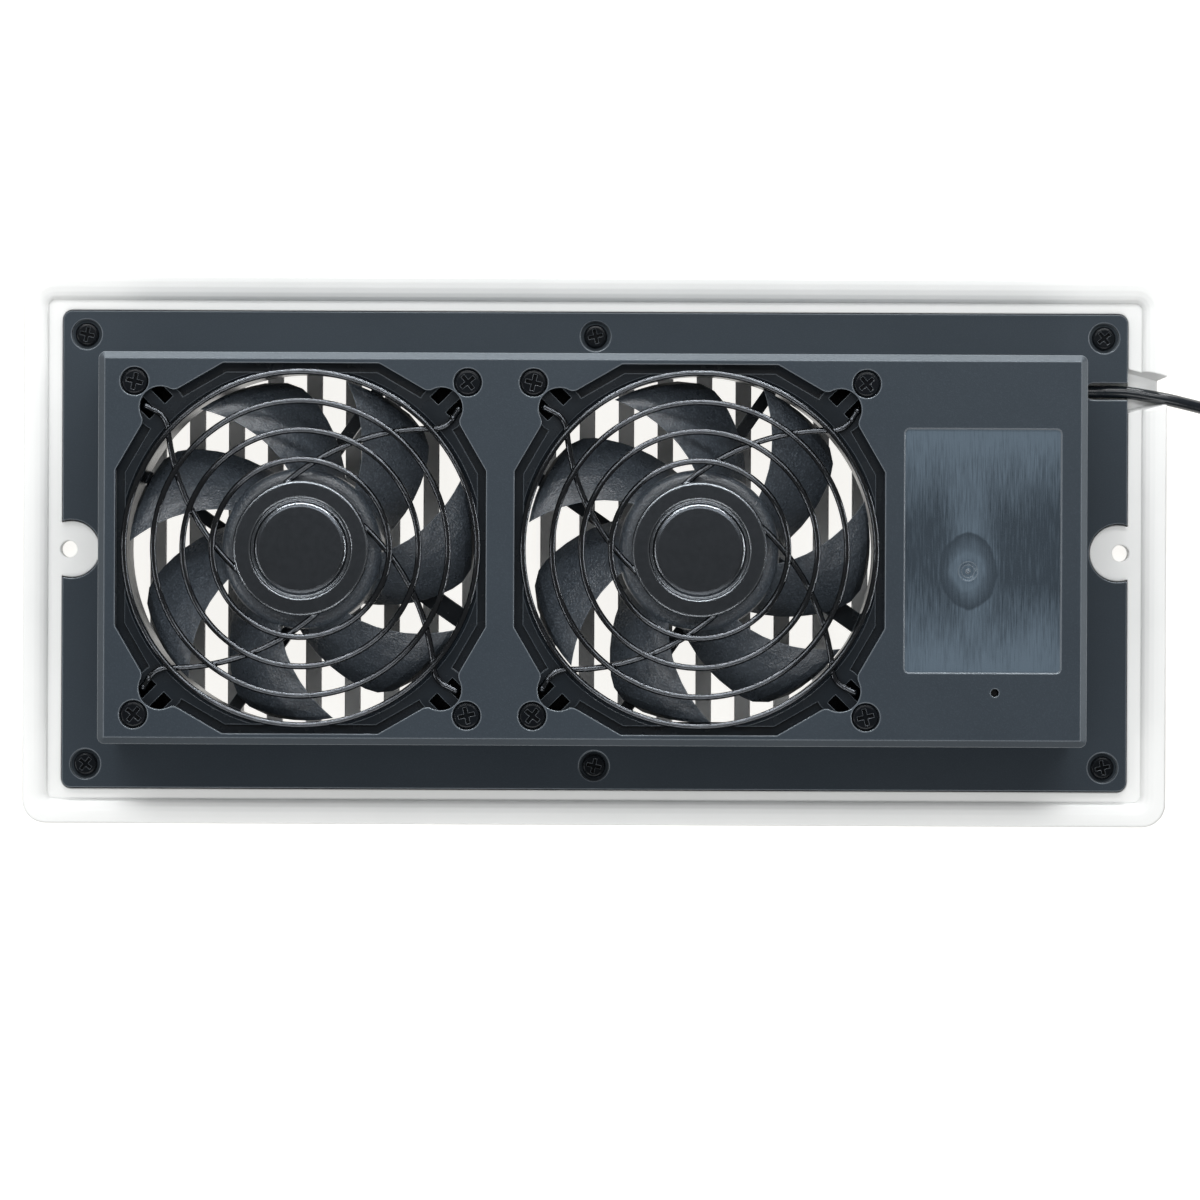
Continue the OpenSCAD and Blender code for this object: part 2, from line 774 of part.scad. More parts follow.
module fan_frame() {
    color("dimgray")
        difference() {
            union() {
                difference() {
                    union() {
                        for (z = [0, fan_t - frame_flange_t])
                            translate([0, 0, z])
                                linear_extrude(frame_flange_t)
                                    round_rect(fan_size, fan_size, frame_corner_r);
                        cylinder(r = bore_r + frame_wall, h = fan_t, $fn = 96);
                    }
                    translate([0, 0, -over])
                        cylinder(r = bore_r, h = fan_t + 2 * over, $fn = 96);
                    translate([0, 0, fan_t - 1.2])
                        cylinder(r1 = bore_r, r2 = bore_r + 1.4, h = 1.4, $fn = 96);
                }
                cylinder(r = base_r, h = base_t);
                cylinder(r = tube_r, h = tube_z1);
                cylinder(r = tube_r + 1.5, h = motor_board_z);
                for (i = [0:3])
                    strut(i)
                        strut_bar(i == lead_strut ? lead_strut_w : strut_w, strut_t);
            }
            translate([0, 0, 1])
                cylinder(r = bearing_r, h = fan_t);
            at_fan_screws()
                translate([0, 0, -over])
                    cylinder(d = fan_thread_d + snug, h = fan_t + 2 * over);
            strut(lead_strut)
                translate([lead_start - loose, -lead_slot / 2, -over])
                    cube([fan_size / 2, lead_slot, lead_slot + over]);
            translate([0, 0, fan_t - lip_depth])
                linear_extrude(lip_depth + over)
                    difference() {
                        opening_outline(lip_under);
                        opening_outline(-lip_inset);
                        at_lobes()
                            circle(lobe_r + lip_under);
                    }
            at_lobes()
                for (side = [0, 1])
                    mirror([0, side])
                        translate([0, corner_web / 2, fan_t - frame_flange_t - over])
                            cube([corner_slot_len, corner_slot_wid, frame_flange_t + 2 * over]);
        }
}

module fan_screws() {
    color("black")
        translate([0, 0, fan_t + top_t - fan_pocket_depth])
            at_fan_screws(screw_twist)
                screw(fan_head_d, fan_thread_d, fan_screw_len);
}

// Finger guard: spokes of two arcs each, rings over them, and a pressed disc
// A spoke's long arc starts square to spoke_dir at the bend and ends under the disc
spoke_chord = spoke_end_at - spoke_bend_at;
spoke_arc_r = spoke_chord * spoke_chord / (2 * (spoke_chord * [cos(spoke_dir), sin(spoke_dir)]));
spoke_arc_turn = 2 * asin(norm(spoke_chord) / (2 * spoke_arc_r));
function hook_point() =
    let (
        bend_mid = spoke_bend_at - spoke_bend_r * [cos(spoke_dir), sin(spoke_dir)],
        start = spoke_dir + spoke_bend_turn
    )
    bend_mid + spoke_bend_r * [cos(start), sin(start)] + spoke_stub * [-sin(start), cos(start)];

module arc_wire(mid, r, from, turn) {
    translate([mid[0], mid[1], spoke_z])
        rotate(from)
            rotate_extrude(angle = turn, $fn = 128)
                translate([r, 0])
                    circle(d = wire_d, $fn = 24);
}

module guard_spoke() {
    out = [cos(spoke_dir), sin(spoke_dir)];
    start = spoke_dir + spoke_bend_turn;
    hook = hook_point();
    arc_wire(spoke_bend_at + spoke_arc_r * out, spoke_arc_r, 180 + spoke_dir, spoke_arc_turn);
    arc_wire(spoke_bend_at - spoke_bend_r * out, spoke_bend_r, spoke_dir, spoke_bend_turn);
    translate([hook[0], hook[1], spoke_z]) {
        sphere(d = wire_d + wire_bead, $fn = 32);
        rotate(start - 90)
            rotate([0, 90, 0]) {
                cylinder(d = wire_d, h = spoke_stub, $fn = 24);
                translate([0, 0, spoke_stub])
                    sphere(d = wire_d + wire_bead, $fn = 32);
            }
    }
    translate([hook[0], hook[1], fan_t - hook_depth])
        cylinder(d = wire_d, h = spoke_z - fan_t + hook_depth, $fn = 24);
}

module finger_guard() {
    disc_z = spoke_z + wire_d / 2 - guard_weld;
    color("#1a1a1c") {
        for (i = [0:ring_count - 1])
            translate([0, 0, ring_z])
                rotate_extrude($fn = 128)
                    translate([ring_r - i * ring_pitch, 0])
                        circle(d = wire_d, $fn = 24);
        for (turn = spoke_turns)
            rotate(turn)
                guard_spoke();
        translate([0, 0, disc_z])
            rotate_extrude($fn = 96)
                polygon([
                    [0, 0], [disc_r - 0.3, 0], [disc_r, 0.3], [disc_r, 0.9], [disc_r - 0.4, 1.2],
                    [disc_r * 0.75, 1.2], [disc_r * 0.73, 0.5], [disc_r * 0.7, 0.5], [disc_r * 0.66, 1.5],
                    [disc_r * 0.62, 1.7], [0, 1.7]
                ]);
    }
}

// Impeller
function edge_angle(t, lead) =
    lead ? lead_sweep * t :
    trail_at_hub + trail_sweep * pow(t, trail_power)
        + corner_sweep * (1 - sqrt(1 - pow(clamp01((t - 1 + corner_share) / corner_share), 2)));
function blade_point(i, j, top) =
    let (
        t = 1 - pow(1 - i / blade_stations, 1.5),
        s = j / blade_steps,
        r = mix(blade_root_r, tip_r, t),
        angle = mix(edge_angle(t, false), edge_angle(t, true), s),
        lead_z = mix(blade_lead_z[0], blade_lead_z[1], t),
        trail_z = mix(blade_trail_z[0], blade_trail_z[1], t),
        half = blade_t / 2 * (0.35 + 0.65 * sin(180 * s))
    )
    [r * cos(angle), r * sin(angle), mix(trail_z, lead_z, s) + blade_camber * sin(180 * s) + (top ? half : -half)];

module blade() {
    n = 2 * (blade_steps + 1);
    points = [
        for (i = [0:blade_stations], k = [0:n - 1])
            k <= blade_steps ? blade_point(i, k, true) : blade_point(i, n - 1 - k, false)
    ];
    walls = [
        for (i = [0:blade_stations - 1], k = [0:n - 1])
            let (a = i * n + k, b = i * n + (k + 1) % n)
            each [[a, b, a + n], [b, b + n, a + n]]
    ];
    caps = [
        for (k = [0:blade_steps - 1])
            let (a = k, b = k + 1, c = n - 2 - k, d = n - 1 - k, e = blade_stations * n)
            each [[a, c, b], [a, d, c], [e + a, e + b, e + c], [e + a, e + c, e + d]]
    ];
    polyhedron(points = points, faces = concat(walls, caps));
}

module impeller(turn) {
    color("#2b2e33")
        rotate(turn) {
            rotate_extrude($fn = 96)
                polygon(concat(
                    [[shaft_d / 2, bush_z0], [bush_r, bush_z0], [bush_r, hub_z1 - hub_top]],
                    [[yoke_r, hub_z1 - hub_top], [yoke_r, hub_z0], [hub_r, hub_z0]],
                    [for (a = [0:15:90]) [hub_r - hub_round * (1 - cos(a)), hub_z1 - hub_round * (1 - sin(a))]],
                    [[0, hub_z1], [0, shaft_z1], [shaft_d / 2, shaft_z1]]
                ));
            for (i = [0:blade_count - 1])
                rotate(360 / blade_count * i)
                    blade();
        }
}

// Motor
module rotor_yoke() {
    top = hub_z1 - hub_top - snug;
    color("silver")
        rotate_extrude()
            polygon([
                [magnet_r, hub_z0 + 1], [yoke_r - snug, hub_z0 + 1], [yoke_r - snug, top], [bush_r + snug, top],
                [bush_r + snug, top - yoke_t], [magnet_r, top - yoke_t]
            ]);
}

module rotor_magnet() {
    color("#38332f")
        rotate_extrude()
            translate([magnet_r - magnet_t, hub_z0 + 1.5])
                square([magnet_t - snug, hub_z1 - hub_top - yoke_t - hub_z0 - 2]);
}

module fan_shaft() {
    color("lightgray")
        difference() {
            translate([0, 0, shaft_z0])
                cylinder(d = shaft_d, h = shaft_z1 - shaft_z0);
            translate([0, 0, clip_z])
                difference() {
                    cylinder(d = shaft_d + 1, h = clip_t);
                    cylinder(d = shaft_d - 2 * clip_groove, h = clip_t);
                }
        }
}

module shaft_clip() {
    color("white")
        translate([0, 0, clip_z])
            difference() {
                cylinder(r = bearing_r - 0.8, h = clip_t);
                translate([0, 0, -over])
                    cylinder(d = shaft_d - 2 * clip_groove, h = clip_t + 2 * over);
                translate([-0.4, 0, -over])
                    cube([0.8, bearing_r, clip_t + 2 * over]);
            }
}

module shaft_bearing() {
    color("#b08d57")
        translate([0, 0, bearing_z0])
            difference() {
                cylinder(r = bearing_r, h = bearing_z1 - bearing_z0);
                translate([0, 0, -over])
                    cylinder(r = shaft_d / 2 + shaft_play, h = bearing_z1 - bearing_z0 + 2 * over);
            }
}

module stator_core() {
    color("#8d8f92")
        translate([0, 0, core_z0])
            linear_extrude(core_z1 - core_z0)
                difference() {
                    union() {
                        circle(tube_r + core_ring_t);
                        for (turn = [0, 90])
                            rotate(turn)
                                square([2 * core_r - core_shoe_t, core_neck_w], center = true);
                        difference() {
                            circle(core_r);
                            circle(core_r - core_shoe_t);
                            for (turn = [45:90:315])
                                rotate(turn)
                                    translate([core_r, 0])
                                        square([4 * core_shoe_t, core_shoe_gap], center = true);
                        }
                    }
                    circle(tube_r);
                }
}

module motor_windings() {
    half_w = core_neck_w / 2 + winding_over;
    inner_x = tube_r + core_ring_t + snug;
    outer_x = sqrt(pow(core_r - core_shoe_t, 2) - pow(half_w, 2)) - snug;
    color("#b5622c")
        for (turn = [0:90:270])
            rotate(turn)
                translate([inner_x, 0, 0])
                    difference() {
                        translate([0, -half_w, core_z0 - winding_over])
                            cube([outer_x - inner_x, 2 * half_w, core_z1 - core_z0 + 2 * winding_over]);
                        translate([-over, -core_neck_w / 2, core_z0])
                            cube([outer_x - inner_x + 2 * over, core_neck_w, core_z1 - core_z0]);
                    }
}

module motor_board() {
    color("darkgreen")
        translate([0, 0, motor_board_z])
            difference() {
                cylinder(r = base_r - 1.5, h = 1);
                translate([0, 0, -over])
                    cylinder(r = tube_r + snug, h = 1 + 2 * over);
            }
}

// The lead leaves the motor board, lies in its strut and runs to the control bay
function strut_spot(along) =
    let (a = strut_turn + 90 * lead_strut)
    [strut_mid * cos(a) + along * cos(a + strut_skew), strut_mid * sin(a) + along * sin(a + strut_skew)];
function in_strut(i, along) = [fan_x[i] + strut_spot(along)[0], strut_spot(along)[1], fan_z + lead_d / 2 + 0.2];
lead_start = -(bore_r - base_r) / 2 - 8;
lead_exit = (fan_size / 2 - strut_spot(0)[0]) / cos(strut_turn + 90 * lead_strut + strut_skew);
lead_z = fan_z - 1.6;
plug_mid_z = board_z + board_t + plug_z;

module fan_lead_left() {
    gap_x = fan_x[0] + fan_pitch / 2;
    color("#202020")
        tube([
            in_strut(0, lead_start), in_strut(0, 0), in_strut(0, lead_exit - 1),
            [gap_x - 0.6, strut_spot(lead_exit)[1] - 2.4, fan_z + 1], [gap_x, strut_spot(lead_exit)[1] - 6, fan_z + 0.4],
            [gap_x, lead_y + 8, lead_z], [gap_x + 1, lead_y + 3, lead_z], [gap_x + 4.5, lead_y, lead_z],
            [fan_x[1], lead_y, lead_z], [plenum_x1 - 2, lead_y, lead_z], [bay_x0 + 3, lead_y + 1, lead_z - 1],
            [bay_x0 + 6, lead_y + 3.5, lead_z - 2],
            [fan_plug_at[0][0] + fan_plug[0] / 2, fan_plug_at[0][1] - 2.5, plug_mid_z],
            [fan_plug_at[0][0] + fan_plug[0] / 2, fan_plug_at[0][1], plug_mid_z]
        ], lead_d, 8);
}

module fan_lead_right() {
    gap_x = fan_x[1] + fan_size / 2 + bay_gap / 2;
    color("#202020")
        tube([
            in_strut(1, lead_start), in_strut(1, 0), in_strut(1, lead_exit - 1),
            [gap_x - 0.4, strut_spot(lead_exit)[1] - 2.4, fan_z + 1], [gap_x, strut_spot(lead_exit)[1] - 6, fan_z + 0.6],
            [gap_x, lead_y + 8, fan_z], [gap_x + 1, lead_y + 5, fan_z - 0.2], [gap_x + 3.5, lead_y + 3.2, fan_z - 0.6],
            [bay_x0 + 5, lead_y + 4.5, lead_z - 0.2], [bay_x0 + 11, lead_y + 7.5, lead_z - 1.6],
            [fan_plug_at[1][0] + fan_plug[0] / 2, fan_plug_at[1][1] - 2.2, plug_mid_z],
            [fan_plug_at[1][0] + fan_plug[0] / 2, fan_plug_at[1][1], plug_mid_z]
        ], lead_d, 8);
}

// Control bay
module control_board() {
    color("green")
        difference() {
            block([bay_x - board_wid / 2, board_y0, board_z], [bay_x + board_wid / 2, board_y1, board_z + board_t]);
            at_board_screws()
                translate([0, 0, board_z - over])
                    cylinder(d = board_screw_d + 2 * snug, h = board_t + 2 * over);
        }
}

module board_components() {
    z = board_z + board_t;
    color("#2f3033")
        translate([0, 0, z]) {
            for (at = fan_plug_at)
                translate(at)
                    cube(fan_plug);
            translate(power_plug_at)
                cube(power_plug);
            translate([bay_x - chip_len / 2, board_mid - 2, 0])
                cube([chip_len, chip_len, chip_h]);
            for (i = [0, 1])
                translate([bay_x - 10 + 10 * i, capacitor_y, 0])
                    cylinder(d = capacitor_d, h = capacitor_h);
            translate([bay_x + coil_inset, board_mid - 2 * coil_inset, 0])
                cylinder(d = capacitor_d + 1, h = capacitor_h / 2);
        }
}

module board_screws() {
    color("silver")
        at_board_screws()
            translate([0, 0, board_z + board_t]) {
                cylinder(d = board_head_d, h = board_head_h);
                translate([0, 0, -board_t - board_lift + snug])
                    cylinder(d = board_screw_d, h = board_t + board_lift);
            }
}

module display_module() {
    color("#20262b")
        translate([bay_x - window_len / 2 - 1, window_y - window_wid / 2 - 1, floor_t + snug])
            cube([window_len + 2, window_wid + 2, board_lift - snug]);
}

module display_window() {
    color("#303a40", 0.6)
        translate([bay_x, window_y, window_set + window_t / 2])
            cube([window_len + 2 * window_ledge - 2 * snug, window_wid + 2 * window_ledge - 2 * snug, window_t], center = true);
}

module tact_switches() {
    color("#222222")
        for (i = [0:2])
            at_button(i)
                translate([-switch_w / 2, -switch_w / 2, switch_z])
                    cube([switch_w, switch_w, board_z - switch_z]);
}

module push_button() {
    color("gainsboro") {
        translate([0, 0, button_set])
            cylinder(d = button_d, h = button_lip_z - button_set + button_lip_t);
        translate([0, 0, button_lip_z])
            cylinder(d = button_d + 2 * button_lip, h = button_lip_t);
        translate([0, 0, button_lip_z])
            cylinder(d = stem_d, h = stem_z - button_lip_z);
    }
}

module temperature_sensor() {
    color("#15151a") {
        translate([sensor_at[0], sensor_at[1], board_z + board_t])
            cylinder(d = sensor_d - 0.4, h = top_z0 - 2 - board_z - board_t);
        translate([sensor_at[0], sensor_at[1], top_z0 - 4.5])
            cylinder(d = sensor_d, h = 5);
    }
}

// Cord
module cord_gland() {
    color("black")
        translate([gland_x0, cord_y - slot_w / 2 + snug, floor_t + snug])
            cube([gland_x1 - gland_x0, slot_w - 2 * snug, groove_h - 2 * snug]);
}

module power_lead() {
    z = floor_t + cord_d / 2 + 0.2;
    top = board_z + board_t;
    plug_x = power_plug_at[0] + power_plug[0] / 2;
    plug_y = power_plug_at[1] + power_plug[1];
    color("black")
        tube([
            [gland_x0, cord_y, z], [gland_x0 - cord_d, cord_y, z], [gland_x0 - 6.5, cord_y - 0.1, z + 2],
            [gland_x0 - 9, cord_y - 0.8, z + 5], [gland_x0 - 10.5, cord_y - 2.2, top + 2],
            [plug_x, plug_y + cord_d, plug_mid_z], [plug_x, plug_y, plug_mid_z]
        ], cord_d, 8);
}

module cord_run() {
    color("black")
        tube(concat(run_points, [coil_line[0] - cord_d * coil_dir(0), coil_line[0]]), cord_d, 8);
}

function coil_r(u) =
    let (f = u / layer_turns, layer = min(coil_layers - 1, floor(f)), part = f - layer)
    layer % 2 == 0 ? mix(coil_out_r, coil_in_r, part) : mix(coil_in_r, coil_out_r, part);
function coil_h(u, k = 1) =
    k == coil_layers ? 0 :
    coil_pitch * eased((u - k * layer_turns) / climb_turns + 0.5) + coil_h(u, k + 1);
function coil_point(u) =
    let (a = coil_start - 360 * u)
    [coil_at[0] + coil_r(u) * cos(a), coil_at[1] + coil_r(u) * sin(a), coil_z + coil_h(u)];
function coil_dir(u) =
    let (a = coil_start - 360 * u)
    [sin(a), -cos(a), 0];
coil_steps = coil_turns * coil_rings;
coil_line = concat(
    [coil_point(0) - cord_d * coil_dir(0)],
    [for (i = [0:coil_steps]) coil_point(i / coil_rings)],
    [coil_point(coil_turns) + cord_d * coil_dir(coil_turns)]
);
coil_least_gap = min([
    for (i = [0:len(coil_line) - 1], j = [i + coil_rings / 2:len(coil_line) - 1])
        norm(coil_line[i] - coil_line[j])
]) - cord_d;

module cord_coil() {
    echo(coil_least_gap = coil_least_gap);
    color("black")
        tube(coil_line, cord_d, coil_sides);
}

module cord_tail() {
    coil_end = coil_line[len(coil_line) - 1];
    color("black")
        tube(concat([coil_end, coil_end + cord_d * coil_dir(coil_turns)], tail_points), cord_d, 8);
}

module coil_tie() {
    bundle_w = coil_out_r - coil_in_r + cord_d + 2 * loose + 0.4;
    bundle_h = (coil_layers - 1) * coil_pitch + cord_d + 2 * loose;
    color("dimgray")
        translate([coil_at[0], coil_at[1], coil_z - cord_d / 2 - loose - tie_t])
            rotate(tie_turn)
                translate([coil_mid_r - bundle_w / 2 - 0.2 - tie_t, -tie_w / 2, 0])
                    difference() {
                        cube([bundle_w + 2 * tie_t, tie_w, bundle_h + 2 * tie_t]);
                        translate([tie_t, -over, tie_t])
                            cube([bundle_w, tie_w + 2 * over, bundle_h]);
                    }
}

// Power adapter; its prongs point along -X and its cord end faces +Y
module at_adapter() {
    translate([adapter_at[0], adapter_at[1], adapter_wid / 2])
        children();
}

module adapter_case() {
    color("#1c1c1e")
        at_adapter()
            translate([-adapter_depth / 2 + adapter_cover_t, -adapter_len / 2, 0])
                rotate([0, 90, 0])
                    sloped_block(adapter_wid, adapter_len, adapter_r, adapter_r - 2,
                        adapter_depth - adapter_cover_t, adapter_r);
}

module adapter_cover() {
    color("#232326")
        at_adapter()
            translate([-adapter_depth / 2, -adapter_len / 2, 0])
                rotate([0, 90, 0])
                    linear_extrude(adapter_cover_t)
                        round_rect(adapter_wid, adapter_len, adapter_r);
}

module adapter_prongs() {
    color("gold")
        at_adapter()
            for (sz = [-1, 1])
                translate([-adapter_depth / 2 - prong_len, -adapter_len / 2, sz * prong_pitch / 2])
                    difference() {
                        translate([0, -prong_w / 2, -prong_t / 2])
                            cube([prong_len, prong_w, prong_t]);
                        translate([3.5, 0, -prong_t])
                            cylinder(d = prong_hole_d, h = 2 * prong_t);
                    }
}

module adapter_relief() {
    color("black")
        at_adapter()
            rotate([-90, 0, 0])
                cylinder(d1 = cord_d + 4.6, d2 = cord_d + 1.2, h = relief_len);
}

// Nodes in pairs, one to each fan
module fan_frame_left() at_fan(0) fan_frame();
module fan_frame_right() at_fan(1) fan_frame();
module fan_screws_left() at_fan(0) fan_screws();
module fan_screws_right() at_fan(1) fan_screws();
module finger_guard_left() at_fan(0) finger_guard();
module finger_guard_right() at_fan(1) finger_guard();
module impeller_left() at_fan(0) impeller(left_turn);
module impeller_right() at_fan(1) impeller(right_turn);
module rotor_yoke_left() at_fan(0) rotor_yoke();
module rotor_yoke_right() at_fan(1) rotor_yoke();
module rotor_magnet_left() at_fan(0) rotor_magnet();
module rotor_magnet_right() at_fan(1) rotor_magnet();
module fan_shaft_left() at_fan(0) fan_shaft();
module fan_shaft_right() at_fan(1) fan_shaft();
module shaft_bearing_left() at_fan(0) shaft_bearing();
module shaft_bearing_right() at_fan(1) shaft_bearing();
module stator_core_left() at_fan(0) stator_core();
module stator_core_right() at_fan(1) stator_core();
module motor_windings_left() at_fan(0) motor_windings();
module motor_windings_right() at_fan(1) motor_windings();
module motor_board_left() at_fan(0) motor_board();
module motor_board_right() at_fan(1) motor_board();
module shaft_clip_left() at_fan(0) shaft_clip();
module shaft_clip_right() at_fan(1) shaft_clip();
module button_mode() at_button(0) push_button();
module button_up() at_button(1) push_button();
module button_down() at_button(2) push_button();

faceplate();
duct_housing();
housing_screws();
fan_frame_left();
fan_frame_right();
fan_screws_left();
fan_screws_right();
finger_guard_left();
finger_guard_right();
impeller_left();
impeller_right();
rotor_yoke_left();
rotor_yoke_right();
rotor_magnet_left();
rotor_magnet_right();
fan_shaft_left();
fan_shaft_right();
shaft_bearing_left();
shaft_bearing_right();
stator_core_left();
stator_core_right();
motor_windings_left();
motor_windings_right();
motor_board_left();
motor_board_right();
shaft_clip_left();
shaft_clip_right();
fan_lead_left();
fan_lead_right();
control_board();
board_components();
board_screws();
display_module();
display_window();
tact_switches();
button_mode();
button_up();
button_down();
temperature_sensor();
cord_gland();
power_lead();
cord_run();
cord_coil();
cord_tail();
coil_tie();
adapter_case();
adapter_cover();
adapter_prongs();
adapter_relief();
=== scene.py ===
"""Looks for the register booster fan.

Camera, the cord on its one route with a tie round its coil, procedural materials, floor and lights.
"""
import json
import math

import bpy
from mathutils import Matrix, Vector
from mathutils.geometry import convex_hull_2d


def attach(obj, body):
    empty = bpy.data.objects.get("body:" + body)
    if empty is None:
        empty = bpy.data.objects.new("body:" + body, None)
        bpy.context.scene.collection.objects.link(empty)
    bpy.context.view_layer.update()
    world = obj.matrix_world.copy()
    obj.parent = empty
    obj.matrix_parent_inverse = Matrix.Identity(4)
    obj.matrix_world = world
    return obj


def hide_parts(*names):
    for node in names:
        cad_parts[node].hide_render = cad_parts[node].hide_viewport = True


MM = 0.001
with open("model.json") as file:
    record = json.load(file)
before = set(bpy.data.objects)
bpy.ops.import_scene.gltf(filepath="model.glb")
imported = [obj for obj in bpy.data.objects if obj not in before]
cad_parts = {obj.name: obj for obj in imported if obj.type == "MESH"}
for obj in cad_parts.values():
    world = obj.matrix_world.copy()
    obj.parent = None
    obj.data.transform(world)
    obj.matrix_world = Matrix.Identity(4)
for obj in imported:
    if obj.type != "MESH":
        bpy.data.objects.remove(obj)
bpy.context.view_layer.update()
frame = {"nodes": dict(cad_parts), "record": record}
nodes = frame["nodes"]
scene = bpy.context.scene
scene.view_settings.view_transform = "Standard"


# Camera: straight down on the duct side, from a little below and right of the middle
CAM_XY = (1.4 * MM, -12.5 * MM)
CAM_ABOVE_TOP = 1160 * MM
TOP_Z = 45.5 * MM
VIEW_AT_TOP = 296.94 * MM
CAM_ROLL = 0.24
SENSOR = 36.0
cam_data = bpy.data.cameras.new("camera")
cam_data.sensor_width = SENSOR
cam_data.lens = SENSOR * CAM_ABOVE_TOP / VIEW_AT_TOP
cam = bpy.data.objects.new("camera", cam_data)
cam.location = (*CAM_XY, TOP_Z + CAM_ABOVE_TOP)
cam.rotation_euler = (0, 0, math.radians(CAM_ROLL))
scene.collection.objects.link(cam)
scene.camera = cam


# Cord: the route of the source, in millimetres
CORD_D = 3.2
COIL_GAP = 0.45
COIL_AT = (184, 9)
COIL_LAYERS = 4
COIL_TURNS = 14 + 1 / 3
COIL_MID_R = 18.25
COIL_Z = 2.5
COIL_START = 90
COIL_RINGS = 24
COIL_LEAD = CORD_D
CLIMB_TURNS = 0.5
TUBE_ROUNDNESS = 5
TUBE_STEPS = 4
RUN_POINTS = [
    (124.5, 41.3, 4.3), (128, 41.3, 4.3), (132, 41.3, 5.1), (136, 41.1, 5.8),
    (141.8, 40.2, 6), (146.9, 39.3, 5.6), (151, 38.4, 4.7), (155, 37.5, 3.6),
    (159.5, 36.4, 2.7), (165, 35.1, 2.2), (171, 34.2, 2.2),
]
TAIL_POINTS = [
    (200.7, -11.8, 13.8), (199, -15, 14.6), (197.6, -18.4, 15.5), (197, -21.8, 16), (197, -25, 16),
]
coil_pitch = CORD_D + COIL_GAP
layer_turns = COIL_TURNS / COIL_LAYERS
coil_in_r = COIL_MID_R - coil_pitch * layer_turns / 2
coil_out_r = COIL_MID_R + coil_pitch * layer_turns / 2


def coil_angle(u):
    return math.radians(COIL_START - 360 * u)


def coil_point(u):
    """The cord's middle after u turns: layers spiral in and out, with a climb between them."""
    layer = min(COIL_LAYERS - 1, int(u / layer_turns))
    part = u / layer_turns - layer
    first_r, last_r = (coil_out_r, coil_in_r) if layer % 2 == 0 else (coil_in_r, coil_out_r)
    r = first_r + (last_r - first_r) * part
    z = COIL_Z
    for k in range(1, COIL_LAYERS):
        t = min(1, max(0, (u - k * layer_turns) / CLIMB_TURNS + 0.5))
        z += coil_pitch * t * t * (3 - 2 * t)
    a = coil_angle(u)
    return Vector((COIL_AT[0] + r * math.cos(a), COIL_AT[1] + r * math.sin(a), z))


def coil_dir(u):
    """The way that the cord runs after u turns."""
    a = coil_angle(u)
    return Vector((math.sin(a), -math.cos(a), 0))


coil_first = coil_point(0) - COIL_LEAD * coil_dir(0)
coil_last = coil_point(COIL_TURNS) + COIL_LEAD * coil_dir(COIL_TURNS)
route = [Vector(p) for p in RUN_POINTS]
route += [coil_first - COIL_LEAD * coil_dir(0), coil_first]
route += [coil_point(i / COIL_RINGS) for i in range(round(COIL_TURNS * COIL_RINGS) + 1)]
route += [coil_last, coil_last + COIL_LEAD * coil_dir(COIL_TURNS)]
route += [Vector(p) for p in TAIL_POINTS]

curve = bpy.data.curves.new("power_cord", "CURVE")
curve.dimensions = "3D"
curve.bevel_depth = CORD_D / 2 * MM
curve.bevel_resolution = TUBE_ROUNDNESS
curve.resolution_u = TUBE_STEPS
curve.use_fill_caps = True
spline = curve.splines.new("BEZIER")
spline.bezier_points.add(len(route) - 1)
for point, at in zip(spline.bezier_points, route):
    point.co = at * MM
    point.handle_left_type = "AUTO"
    point.handle_right_type = "AUTO"
line = bpy.data.objects.new("cord_line", curve)
scene.collection.objects.link(line)
tube = bpy.data.meshes.new_from_object(
    line.evaluated_get(bpy.context.evaluated_depsgraph_get()))
bpy.data.objects.remove(line)
power_cord = bpy.data.objects.new("power_cord", tube)
scene.collection.objects.link(power_cord)
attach(power_cord, "body")
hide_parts("cord_run", "cord_coil", "cord_tail")


# Tie: a strap pulled tight around the turns, where the source has a plain rectangle
TIE_ANGLE = 200
TIE_W = 4
TIE_T = 0.6
TIE_GAP = 0.2
TIE_SIDES = 32
tie_out = Vector((math.cos(math.radians(TIE_ANGLE)), math.sin(math.radians(TIE_ANGLE))))
tie_along = Vector((-tie_out.y, tie_out.x))
first_u = (COIL_START - TIE_ANGLE) % 360 / 360
crossings = [coil_point(first_u + k) for k in range(math.floor(COIL_TURNS - first_u) + 1)]
centres = [((at.xy - Vector(COIL_AT)).dot(tie_out), at.z) for at in crossings]
around = [(c, 2 * math.pi * k / TIE_SIDES) for c in centres for k in range(TIE_SIDES)]
strap_r = CORD_D / 2 + TIE_GAP + TIE_T
hull = convex_hull_2d(
    [(c[0] + strap_r * math.cos(a), c[1] + strap_r * math.sin(a)) for c, a in around])
strap_points = []
for index in hull:
    c, a = around[index]
    for r in (strap_r, strap_r - TIE_T):
        for side in (-0.5, 0.5):
            out = tie_out * (c[0] + r * math.cos(a))
            flat = Vector(COIL_AT) + out + tie_along * TIE_W * side
            strap_points.append(Vector((flat.x, flat.y, c[1] + r * math.sin(a))) * MM)
strap_faces = []
for k in range(len(hull)):
    here, there = 4 * k, 4 * ((k + 1) % len(hull))
    for one, two in ((0, 1), (1, 3), (3, 2), (2, 0)):
        strap_faces.append((here + one, here + two, there + two, there + one))
strap_mesh = bpy.data.meshes.new("tie_strap")
strap_mesh.from_pydata(strap_points, [], strap_faces)
tie_strap = bpy.data.objects.new("tie_strap", strap_mesh)
scene.collection.objects.link(tie_strap)
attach(tie_strap, "body")
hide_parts("coil_tie")


